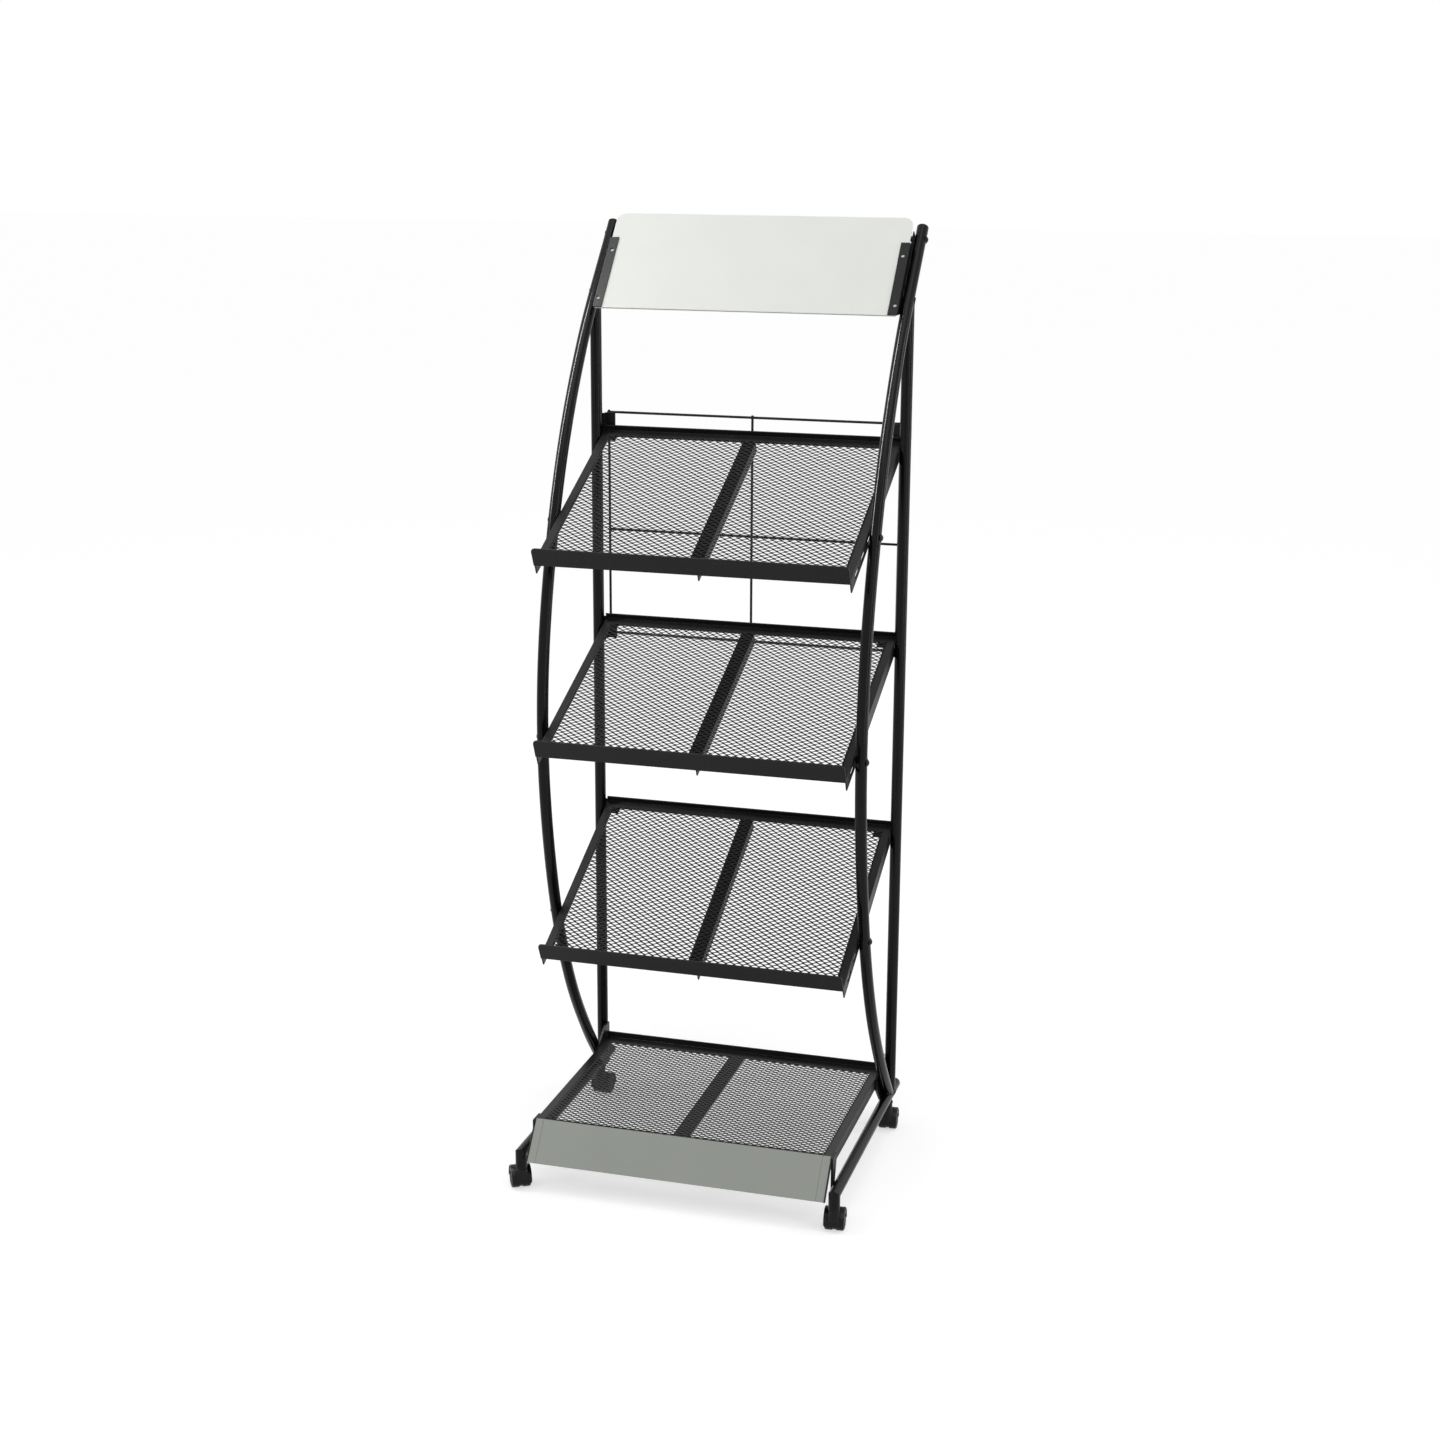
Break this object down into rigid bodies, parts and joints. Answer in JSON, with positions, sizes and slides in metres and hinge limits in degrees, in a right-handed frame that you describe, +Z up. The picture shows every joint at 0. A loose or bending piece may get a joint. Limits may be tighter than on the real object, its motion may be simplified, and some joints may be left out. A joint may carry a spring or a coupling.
{
  "type": "periodical display rack",
  "caption": "Wheeled display rack: sloping expanded-metal shelves and a base tray between bowed tube side frames, with a wire back grid and a leaning header panel.",
  "frame": {"origin": "middle of the bounding box on the floor, at the contact of the wheels", "axes": "+Z up, front at -Y, +X to the right of a person facing the front; the mirror plane of the frame lies 6.7 mm to the right of the origin because one caster stands turned"},
  "size_m": [0.5462, 0.4994, 1.4705],
  "materials": {
    "frame_black": "satin powder coat",
    "shelf_black": "satin powder coat",
    "mesh_black": "satin powder coat on expanded metal",
    "wire_black": "satin powder coat on wire",
    "panel_grey": "fine satin paint",
    "header_white": "smooth satin sheet",
    "caster_plastic": "moulded nylon, slight sheen",
    "wheel_plastic": "moulded nylon, matte tread",
    "cap_plastic": "moulded plastic",
    "axle_steel": "plain turned steel"
  },
  "bodies": {
    "rack": {"base_rail_left": "frame_black", "base_rail_right": "frame_black", "rear_upright_left": "frame_black", "rear_upright_right": "frame_black", "bow_tube_left": "frame_black", "bow_tube_right": "frame_black", "leg_bush_left": "cap_plastic", "leg_bush_right": "cap_plastic", "rail_cap_rear_left": "cap_plastic", "rail_cap_rear_right": "cap_plastic", "bow_cap_left": "cap_plastic", "bow_cap_right": "cap_plastic", "tray_strap_left": "frame_black", "tray_strap_right": "frame_black", "tray_plate_left": "frame_black", "tray_plate_right": "frame_black", "shelf_top_frame": "shelf_black", "shelf_top_centre_bar": "shelf_black", "shelf_top_mesh": "mesh_black", "shelf_top_front_lip": "shelf_black", "shelf_middle_frame": "shelf_black", "shelf_middle_centre_bar": "shelf_black", "shelf_middle_mesh": "mesh_black", "shelf_middle_front_lip": "shelf_black", "shelf_lower_frame": "shelf_black", "shelf_lower_centre_bar": "shelf_black", "shelf_lower_mesh": "mesh_black", "shelf_lower_front_lip": "shelf_black", "tray_frame": "shelf_black", "tray_centre_bar": "shelf_black", "tray_mesh": "mesh_black", "front_panel": "panel_grey", "front_panel_end_left": "panel_grey", "front_panel_end_right": "panel_grey", "sign_panel": "header_white", "sign_bracket_left": "frame_black", "sign_bracket_right": "frame_black", "back_grid": "wire_black", "grid_clip_lower_left": "frame_black", "grid_clip_lower_right": "frame_black", "grid_clip_upper_left": "frame_black", "grid_clip_upper_right": "frame_black"},
    "caster_front_left": {"caster_front_left_hood": "caster_plastic", "caster_front_left_axle": "axle_steel"},
    "caster_front_left_wheel_left": {"caster_front_left_wheel_left": "wheel_plastic"},
    "caster_front_left_wheel_right": {"caster_front_left_wheel_right": "wheel_plastic"},
    "caster_front_right": {"caster_front_right_hood": "caster_plastic", "caster_front_right_axle": "axle_steel"},
    "caster_front_right_wheel_left": {"caster_front_right_wheel_left": "wheel_plastic"},
    "caster_front_right_wheel_right": {"caster_front_right_wheel_right": "wheel_plastic"},
    "caster_rear_left": {"caster_rear_left_hood": "caster_plastic", "caster_rear_left_axle": "axle_steel"},
    "caster_rear_left_wheel_left": {"caster_rear_left_wheel_left": "wheel_plastic"},
    "caster_rear_left_wheel_right": {"caster_rear_left_wheel_right": "wheel_plastic"},
    "caster_rear_right": {"caster_rear_right_hood": "caster_plastic", "caster_rear_right_axle": "axle_steel"},
    "caster_rear_right_wheel_left": {"caster_rear_right_wheel_left": "wheel_plastic"},
    "caster_rear_right_wheel_right": {"caster_rear_right_wheel_right": "wheel_plastic"}
  },
  "joints": [
    {"name": "swivel_front_left", "type": "hinge", "parent": "rack", "child": "caster_front_left", "pos_m": [-0.24329, -0.23648, 0.0415], "axis": [0, 0, 1], "continuous": true},
    {"name": "spin_front_left_left", "type": "hinge", "parent": "caster_front_left", "child": "caster_front_left_wheel_left", "pos_m": [-0.24979, -0.22523, 0.01618], "axis": [0.866, 0.5, 0], "continuous": true},
    {"name": "spin_front_left_right", "type": "hinge", "parent": "caster_front_left", "child": "caster_front_left_wheel_right", "pos_m": [-0.24979, -0.22523, 0.01618], "axis": [0.866, 0.5, 0], "continuous": true},
    {"name": "swivel_front_right", "type": "hinge", "parent": "rack", "child": "caster_front_right", "pos_m": [0.25671, -0.23648, 0.0415], "axis": [0, 0, 1], "continuous": true},
    {"name": "spin_front_right_left", "type": "hinge", "parent": "caster_front_right", "child": "caster_front_right_wheel_left", "pos_m": [0.25535, -0.22356, 0.01618], "axis": [0.9945, 0.1045, 0], "continuous": true},
    {"name": "spin_front_right_right", "type": "hinge", "parent": "caster_front_right", "child": "caster_front_right_wheel_right", "pos_m": [0.25535, -0.22356, 0.01618], "axis": [0.9945, 0.1045, 0], "continuous": true},
    {"name": "swivel_rear_left", "type": "hinge", "parent": "rack", "child": "caster_rear_left", "pos_m": [-0.24329, 0.13752, 0.05649], "axis": [0, 0, 1], "continuous": true},
    {"name": "spin_rear_left_left", "type": "hinge", "parent": "caster_rear_left", "child": "caster_rear_left_wheel_left", "pos_m": [-0.24239, 0.15049, 0.01618], "axis": [0.9976, -0.0698, 0], "continuous": true},
    {"name": "spin_rear_left_right", "type": "hinge", "parent": "caster_rear_left", "child": "caster_rear_left_wheel_right", "pos_m": [-0.24239, 0.15049, 0.01618], "axis": [0.9976, -0.0698, 0], "continuous": true},
    {"name": "swivel_rear_right", "type": "hinge", "parent": "rack", "child": "caster_rear_right", "pos_m": [0.25671, 0.13752, 0.05649], "axis": [0, 0, 1], "continuous": true},
    {"name": "spin_rear_right_left", "type": "hinge", "parent": "caster_rear_right", "child": "caster_rear_right_wheel_left", "pos_m": [0.25557, 0.15047, 0.01618], "axis": [0.9962, 0.0872, 0], "continuous": true},
    {"name": "spin_rear_right_right", "type": "hinge", "parent": "caster_rear_right", "child": "caster_rear_right_wheel_right", "pos_m": [0.25557, 0.15047, 0.01618], "axis": [0.9962, 0.0872, 0], "continuous": true}
  ]
}
